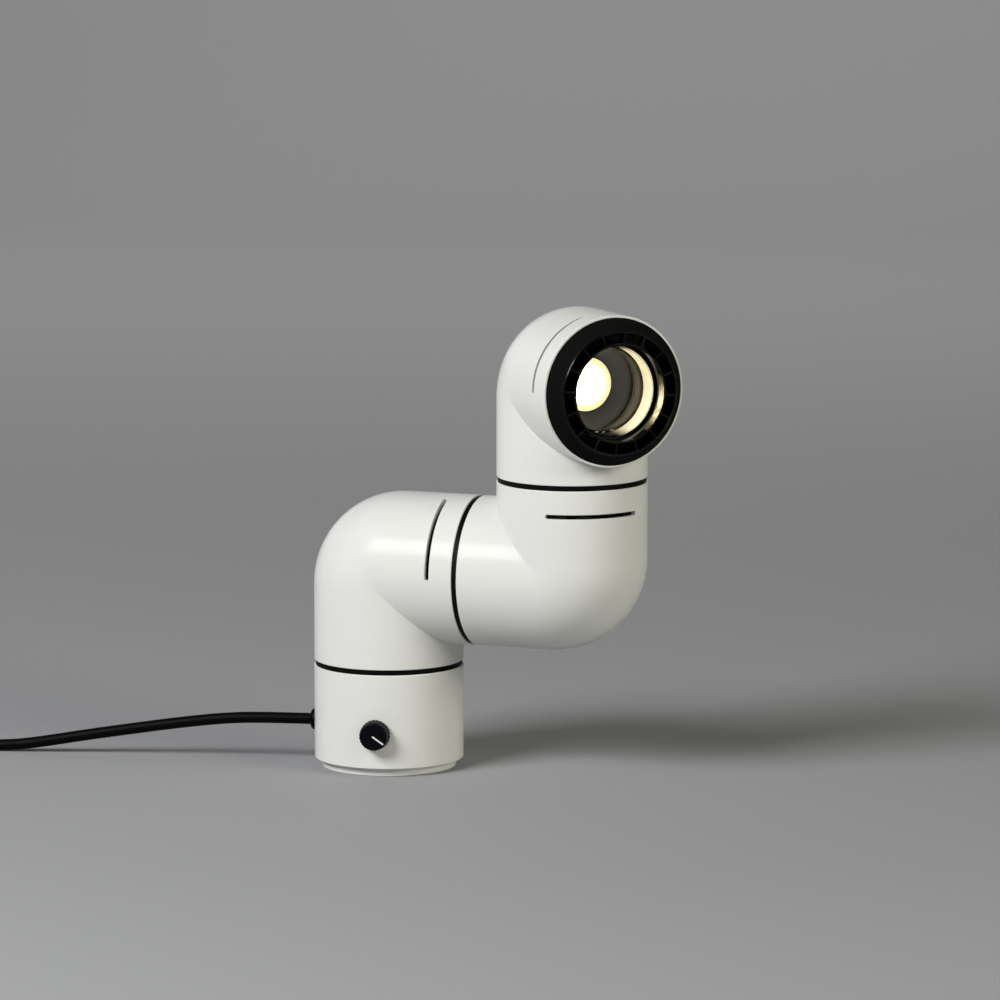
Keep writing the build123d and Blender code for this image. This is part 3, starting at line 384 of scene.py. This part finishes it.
def make_bulb_reflector():
    """Dark bowl behind the lens, and a collar round its front with a painted highlight on its right: a
    pale colour and a glow there stand in for the bulb's light falling on it.
    """
    bowl_black = (0.001, 0.0007, 0.0006)
    painted_collar_highlight = (0.9, 0.86, 0.74)
    no_glow = (0.0, 0.0, 0.0)
    painted_collar_glow = (0.52, 0.46, 0.28)
    material, tree, shader = new_material("bulb reflector")
    axis = place_group(tree, HEAD_AXIS)
    # Painted highlight: only the collar's right side is painted pale and made to glow.
    collar = ramp_between(tree, axis.outputs["Along"], LENS_FRONT - COLLAR_DEPTH, LENS_FRONT)
    painted_light_side = ramp_between(tree, axis.outputs["Right"], PAINTED_LIGHT_STARTS, PAINTED_LIGHT_IN_FULL)
    painted_light_collar = math_node(tree, "MULTIPLY", collar, painted_light_side)
    colour = mix_colours(tree, painted_light_collar, bowl_black, painted_collar_highlight)
    link(tree, colour, shader.inputs["Base Color"])
    # Painted light: a glow on the collar's right side, though the collar is no lamp.
    glow = mix_colours(tree, painted_light_collar, no_glow, painted_collar_glow)
    link(tree, glow, shader.inputs["Emission Color"])
    shader.inputs["Emission Strength"].default_value = 1.0
    shader.inputs["Specular IOR Level"].default_value = 0.007
    surface = place_group(tree, MOULDED)
    surface.inputs["Roughness"].default_value = 0.35
    link(tree, surface.outputs["Roughness"], shader.inputs["Roughness"])
    add_relief(tree, shader, surface.outputs["Height"], 0.01 * MM)
    return material


bulb_glass = make_bulb_glass()
bulb_glow = make_bulb_glow()
bulb_reflector = make_bulb_reflector()

FINISHES = {
    "white_shell": white_shell,
    "ring_black": black_ring,
    "nose_black": black_nose,
    "knob_black": black_knob,
    "pointer_white": pointer_white,
    "gland_black": black_gland,
    "lead_black": black_lead,
    "inner_lead": inner_white_lead,
    "plug_black": black_plug,
    "pin_brass": pin_brass,
    "foot_rubber": foot_rubber,
    "plated_steel": plated_steel,
    "cast_weight": cast_weight,
    "board_green": board_green,
    "board_dark": board_dark,
    "bulb_white": bulb_body,
    "bulb_reflector": bulb_reflector,
    "bulb_lens": bulb_glass,
    "bulb_glow": bulb_glow,
    "holder_ceramic": holder_ceramic,
}
for subpart in frame["record"]["subparts"]:
    for material_slot in nodes[subpart["node"]].material_slots:
        material_slot.material = FINISHES[subpart["material_slot"]]

# ---- mains lead --------------------------------------------------------------------------------
GLAND_AZIMUTH = math.radians(191)
GLAND_HEIGHT = 23.4 * MM
GLAND_END = 42.6 * MM           # from the base's axis
STRAIGHT_END = 62 * MM          # from the base's axis
COIL_CENTRE = Vector((-293.2, -16.2, 0)) * MM
COIL_LARGEST = 45.4 * MM
COIL_SMALLEST = 24.8 * MM
LOWER_TURNS = 3.05 * MM         # height of the lead's middle
UPPER_TURNS = 9.2 * MM
COIL_ENTRY = math.radians(-71)
COIL_SWEEP = math.radians(2500)
CLIMB_SWEEP = math.radians(110)
POINTS_PER_TURN = 24


def on_gland_axis(distance):
    """Point on the gland's axis, at a distance from the base's axis."""
    return Vector((distance * math.cos(GLAND_AZIMUTH), distance * math.sin(GLAND_AZIMUTH), GLAND_HEIGHT))


def beside_coil(angle, radius, height):
    """Point at an angle, in radians, round the coil."""
    return COIL_CENTRE + Vector((radius * math.cos(angle), radius * math.sin(angle), height))


def coil_turns():
    """Clockwise turns: a spiral inwards on the table, a climb, and a spiral outwards on top."""
    layer_sweep = (COIL_SWEEP - CLIMB_SWEEP) / 2
    steps = round(COIL_SWEEP / (2 * math.pi) * POINTS_PER_TURN)
    points = []
    for step in range(1, steps):
        sweep = COIL_SWEEP * step / steps
        inwards = min(sweep / layer_sweep, 1)
        outwards = max((sweep - layer_sweep - CLIMB_SWEEP) / layer_sweep, 0)
        climb = min(max((sweep - layer_sweep) / CLIMB_SWEEP, 0), 1)
        radius = COIL_LARGEST + (COIL_SMALLEST - COIL_LARGEST) * (inwards - outwards)
        height = LOWER_TURNS + (UPPER_TURNS - LOWER_TURNS) * (1 - math.cos(math.pi * climb)) / 2
        points.append(beside_coil(COIL_ENTRY - sweep, radius, height))
    return points


CORD_RUN = [
    on_gland_axis(GLAND_END),
    on_gland_axis(STRAIGHT_END),
    Vector((-84.6, -15.9, 22.7)) * MM,
    Vector((-112.1, -20.8, 19.1)) * MM,
    Vector((-139.6, -26.0, 14.6)) * MM,
    Vector((-163.2, -30.2, 10.6)) * MM,
    Vector((-184.9, -34.4, 6.5)) * MM,
    Vector((-206.0, -38.0, 3.05)) * MM,
    Vector((-243.0, -46.5, 3.05)) * MM,
    Vector((-278.4, -59.1, 3.05)) * MM,
]
CORD_TAIL = [
    beside_coil(math.radians(angle), radius * MM, height * MM)
    for angle, radius, height in (
        (309.0, 45.4, 9.2), (281.0, 47.2, 9.3), (253.0, 52.5, 8.6), (230.0, 57.5, 7.4),
        (210.0, 61.0, 6.85), (193.0, 62.8, 6.85), (180.0, 63.8, 6.85),
    )
]


def make_cord():
    """The whole free lead on one smooth line, from the gland to the plug."""
    points = [*CORD_RUN, *coil_turns(), *CORD_TAIL]
    curve = bpy.data.curves.new("mains_lead", "CURVE")
    curve.dimensions = "3D"
    curve.bevel_depth = CORD_DIAMETER / 2
    curve.bevel_resolution = 6
    curve.resolution_u = 5
    line = curve.splines.new("NURBS")
    line.points.add(len(points) - 1)
    for place, point in zip(line.points, points):
        place.co = (*point, 1)
    line.order_u = 3
    line.use_endpoint_u = True
    lead = bpy.data.objects.new("mains_lead", curve)
    bpy.context.scene.collection.objects.link(lead)
    curve.materials.append(black_lead)
    return lead


mains_lead = make_cord()
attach(mains_lead, "base")
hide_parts("cord_run", "cord_coil", "cord_tail")

# ---- what repeats: the bulb's light cells and the plug's grip rings ----------------------------
CELL_RADIUS = 0.42 * MM
CELLS_ACROSS = 21
SMALLEST_CELL = 0.85            # share of the cell radius
LARGEST_CELL = 1.1
CELL_SEED = 5
RING_COUNT = 7
RING_THICKNESS = 0.55 * MM
RELIEF_LENGTH = 20 * MM         # the plug's strain relief, from the lead towards the pins
RELIEF_THIN = 3.9 * MM
RELIEF_THICK = 5.6 * MM


def finish_tree(tree, start, end, instances):
    """Turn instances into a mesh, smooth it and give it its material."""
    real = tree.nodes.new("GeometryNodeRealizeInstances")
    smooth = tree.nodes.new("GeometryNodeSetShadeSmooth")
    finish = tree.nodes.new("GeometryNodeSetMaterial")
    link(tree, instances, real.inputs["Geometry"])
    link(tree, real.outputs["Geometry"], smooth.inputs["Geometry"])
    link(tree, smooth.outputs["Geometry"], finish.inputs["Geometry"])
    link(tree, start.outputs["Material"], finish.inputs["Material"])
    link(tree, finish.outputs["Geometry"], end.inputs["Geometry"])


def spread_on(tree, points, shape, scale):
    """Instances of a shape on points, each at its own scale."""
    spread = tree.nodes.new("GeometryNodeInstanceOnPoints")
    link(tree, points, spread.inputs["Points"])
    link(tree, shape, spread.inputs["Instance"])
    link(tree, scale, spread.inputs["Scale"])
    return spread.outputs["Instances"]


def make_cell_tree():
    """Round field of small domes on a square grid, each of a slightly different size."""
    tree, start, end = new_tree(
        "GeometryNodeTree",
        "light cells",
        {
            "Field Radius": (NUMBER, EMITTER_RADIUS),
            "Cells Across": (COUNT, CELLS_ACROSS),
            "Cell Radius": (NUMBER, CELL_RADIUS),
            "Smallest": (NUMBER, SMALLEST_CELL),
            "Largest": (NUMBER, LARGEST_CELL),
            "Seed": (COUNT, CELL_SEED),
            "Material": (FINISH, None),
        },
        {"Geometry": SHAPE},
    )
    grid = tree.nodes.new("GeometryNodeMeshGrid")
    across = math_node(tree, "MULTIPLY", start.outputs["Field Radius"], 2.0)
    for side in ("X", "Y"):
        link(tree, across, grid.inputs[f"Size {side}"])
        link(tree, start.outputs["Cells Across"], grid.inputs[f"Vertices {side}"])

    place = tree.nodes.new("GeometryNodeInputPosition")
    distance = vector_node(tree, "LENGTH", place.outputs["Position"])
    edge = math_node(tree, "SUBTRACT", start.outputs["Field Radius"], start.outputs["Cell Radius"])
    trim = tree.nodes.new("GeometryNodeDeleteGeometry")
    link(tree, grid.outputs["Mesh"], trim.inputs["Geometry"])
    link(tree, math_node(tree, "GREATER_THAN", distance.outputs["Value"], edge), trim.inputs["Selection"])

    dome = add(tree, "GeometryNodeMeshUVSphere", Segments=10, Rings=6)
    link(tree, start.outputs["Cell Radius"], dome.inputs["Radius"])
    size = tree.nodes.new("FunctionNodeRandomValue")
    least, most = size.inputs[2], size.inputs[3]    # its Min and Max for a number
    link(tree, start.outputs["Smallest"], least)
    link(tree, start.outputs["Largest"], most)
    link(tree, start.outputs["Seed"], size.inputs["Seed"])
    cell_size = size.outputs[1]                     # its Value for a number
    cells = spread_on(tree, trim.outputs["Geometry"], dome.outputs["Mesh"], cell_size)
    finish_tree(tree, start, end, cells)
    return tree


def make_ring_tree():
    """Row of rings up a cone, from its thin end to its thick end."""
    tree, start, end = new_tree(
        "GeometryNodeTree",
        "grip rings",
        {
            "Length": (NUMBER, RELIEF_LENGTH),
            "Thin Radius": (NUMBER, RELIEF_THIN),
            "Thick Radius": (NUMBER, RELIEF_THICK),
            "Rings": (COUNT, RING_COUNT),
            "Ring Thickness": (NUMBER, RING_THICKNESS),
            "Material": (FINISH, None),
        },
        {"Geometry": SHAPE},
    )
    line = tree.nodes.new("GeometryNodeMeshLine")
    spaces = math_node(tree, "ADD", start.outputs["Rings"], 1.0)
    step = tree.nodes.new("ShaderNodeCombineXYZ")
    link(tree, math_node(tree, "DIVIDE", start.outputs["Length"], spaces), step.inputs["Z"])
    link(tree, start.outputs["Rings"], line.inputs["Count"])
    link(tree, step.outputs["Vector"], line.inputs["Start Location"])
    link(tree, step.outputs["Vector"], line.inputs["Offset"])

    # A ring of radius 1, which its point's scale brings to the cone's radius there.
    circle = add(tree, "GeometryNodeCurvePrimitiveCircle", Resolution=48, Radius=1.0)
    profile = add(tree, "GeometryNodeCurvePrimitiveCircle", Resolution=12)
    thickness = math_node(tree, "DIVIDE", start.outputs["Ring Thickness"], start.outputs["Thick Radius"])
    link(tree, thickness, profile.inputs["Radius"])
    ring = tree.nodes.new("GeometryNodeCurveToMesh")
    link(tree, circle.outputs["Curve"], ring.inputs["Curve"])
    link(tree, profile.outputs["Curve"], ring.inputs["Profile Curve"])

    place = tree.nodes.new("GeometryNodeInputPosition")
    height = tree.nodes.new("ShaderNodeSeparateXYZ")
    link(tree, place.outputs["Position"], height.inputs["Vector"])
    radius = tree.nodes.new("ShaderNodeMapRange")
    link(tree, height.outputs["Z"], radius.inputs["Value"])
    link(tree, start.outputs["Length"], radius.inputs["From Max"])
    link(tree, start.outputs["Thin Radius"], radius.inputs["To Min"])
    link(tree, start.outputs["Thick Radius"], radius.inputs["To Max"])
    rings = spread_on(tree, line.outputs["Mesh"], ring.outputs["Mesh"], radius.outputs["Result"])
    finish_tree(tree, start, end, rings)
    return tree


def grow(name, tree, material, origin, direction):
    """Run a geometry tree, keep its plain mesh and set it along a direction from a point."""
    holder = bpy.data.objects.new(name, bpy.data.meshes.new(name))
    bpy.context.scene.collection.objects.link(holder)
    modifier = holder.modifiers.new(name, "NODES")
    modifier.node_group = tree
    sockets = {item.name: item.identifier for item in tree.interface.items_tree if item.in_out == "INPUT"}
    modifier[sockets["Material"]] = material
    evaluated = holder.evaluated_get(bpy.context.evaluated_depsgraph_get())
    mesh = bpy.data.meshes.new_from_object(evaluated)
    holder.modifiers.remove(modifier)
    turn = direction.to_track_quat("Z", "Y").to_matrix().to_4x4()
    mesh.transform(Matrix.Translation(origin) @ turn)
    mesh.name = name
    holder.data = mesh
    return holder


emitter_middle = HEAD_MIDDLE + HEAD_DIRECTION * EMITTER_FRONT
light_cells = grow("light_cells", make_cell_tree(), bulb_glow, emitter_middle, HEAD_DIRECTION)
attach(light_cells, "head")

relief_start = CORD_TAIL[-1]
relief_heading = relief_start - CORD_TAIL[-2]
relief_heading.z = 0
relief_heading.normalize()
grip_rings = grow("grip_rings", make_ring_tree(), black_plug, relief_start, relief_heading)
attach(grip_rings, "base")

# ---- floor, lights and camera ------------------------------------------------------------------
FLOOR_GREY = (0.36, 0.362, 0.37)
LAMP_MIDDLE = Vector((0.06, 0, 0.12))
VIEW_AZIMUTH = math.radians(20.5)
CAMERA_RIGHT = 59.46 * MM
CAMERA_NEAR = 3418.98 * MM
CAMERA_HEIGHT = 661.12 * MM
CAMERA_PITCH = math.radians(8.6126)
SENSOR_WIDTH = 36.0             # in the camera's own millimetres
FOCAL_SHARE = 6.4778            # focal length over the sensor's width


def for_viewer(right, near, height):
    """Point to the viewer's right of the foot's middle, nearer the viewer, and above the table."""
    cos, sin = math.cos(VIEW_AZIMUTH), math.sin(VIEW_AZIMUTH)
    return Vector((right * cos + near * sin, right * sin - near * cos, height))


def make_floor():
    """Floor that curves up into a backdrop far behind the lamp."""
    half_width = 6.0
    front = -6.0
    bend_start = 2.6
    bend_radius = 1.6
    bend_steps = 16
    top = 5.0
    profile = [(front, 0.0), (bend_start, 0.0)]
    for step in range(1, bend_steps + 1):
        angle = math.pi / 2 * step / bend_steps
        profile.append((bend_start + bend_radius * math.sin(angle), bend_radius * (1 - math.cos(angle))))
    profile.append((bend_start + bend_radius, top))
    points = [(side * half_width, y, z) for y, z in profile for side in (-1, 1)]
    faces = [(2 * i, 2 * i + 1, 2 * i + 3, 2 * i + 2) for i in range(len(profile) - 1)]
    mesh = bpy.data.meshes.new("floor")
    mesh.from_pydata(points, [], faces)
    mesh.shade_smooth()
    floor = bpy.data.objects.new("floor", mesh)
    floor.rotation_euler[2] = VIEW_AZIMUTH
    bpy.context.scene.collection.objects.link(floor)
    material, tree, shader = new_material("pale grey paper")
    shader.inputs["Base Color"].default_value = (*FLOOR_GREY, 1)
    shader.inputs["Roughness"].default_value = 0.75
    shader.inputs["Specular IOR Level"].default_value = 0.25
    mesh.materials.append(material)


def make_camera():
    """Camera that looks level with the viewer's azimuth and down by its pitch."""
    camera = bpy.data.cameras.new("camera")
    camera.sensor_fit = "HORIZONTAL"
    camera.sensor_width = SENSOR_WIDTH
    camera.lens = SENSOR_WIDTH * FOCAL_SHARE
    camera.clip_end = 50.0
    holder = bpy.data.objects.new("camera", camera)
    holder.location = for_viewer(CAMERA_RIGHT, CAMERA_NEAR, CAMERA_HEIGHT)
    holder.rotation_euler = (math.pi / 2 - CAMERA_PITCH, 0, VIEW_AZIMUTH)
    bpy.context.scene.collection.objects.link(holder)
    bpy.context.scene.camera = holder


def make_softbox(name, place, target, width, height, power, colour=(1, 1, 1)):
    """Area light at a place, turned towards a target."""
    light = bpy.data.lights.new(name, "AREA")
    light.shape = "RECTANGLE"
    light.size = width
    light.size_y = height
    light.energy = power
    light.color = colour
    lamp = bpy.data.objects.new(name, light)
    lamp.location = place
    lamp.rotation_euler = (target - place).to_track_quat("-Z", "Y").to_euler()
    bpy.context.scene.collection.objects.link(lamp)


def make_world(level, colour):
    """Dim, even light from all round."""
    world = bpy.data.worlds.new("studio")
    world.use_nodes = True
    background = world.node_tree.nodes["Background"]
    background.inputs["Color"].default_value = (*colour, 1)
    background.inputs["Strength"].default_value = level
    bpy.context.scene.world = world


make_floor()
make_camera()
make_softbox(
    "key softbox", for_viewer(-1.17, 1.17, 1.27), LAMP_MIDDLE,
    width=0.95, height=0.7, power=40.0, colour=(0.985, 0.99, 1.0),
)
make_softbox(
    "side fill", for_viewer(1.8, 1.2, 0.95), LAMP_MIDDLE,
    width=1.1, height=0.8, power=20.5, colour=(1.0, 0.985, 0.86),
)
make_softbox(
    "back fill", for_viewer(-1.5, -2.3, 0.8), LAMP_MIDDLE,
    width=1.6, height=1.0, power=3.0,
)
make_softbox(
    "backdrop wash", for_viewer(0.3, -1.8, 2.4), for_viewer(0.35, -4.0, 0.5),
    width=3.0, height=0.6, power=47.0,
)
make_world(0.02, (1.0, 0.99, 0.94))
bpy.context.scene.view_settings.view_transform = "Standard"
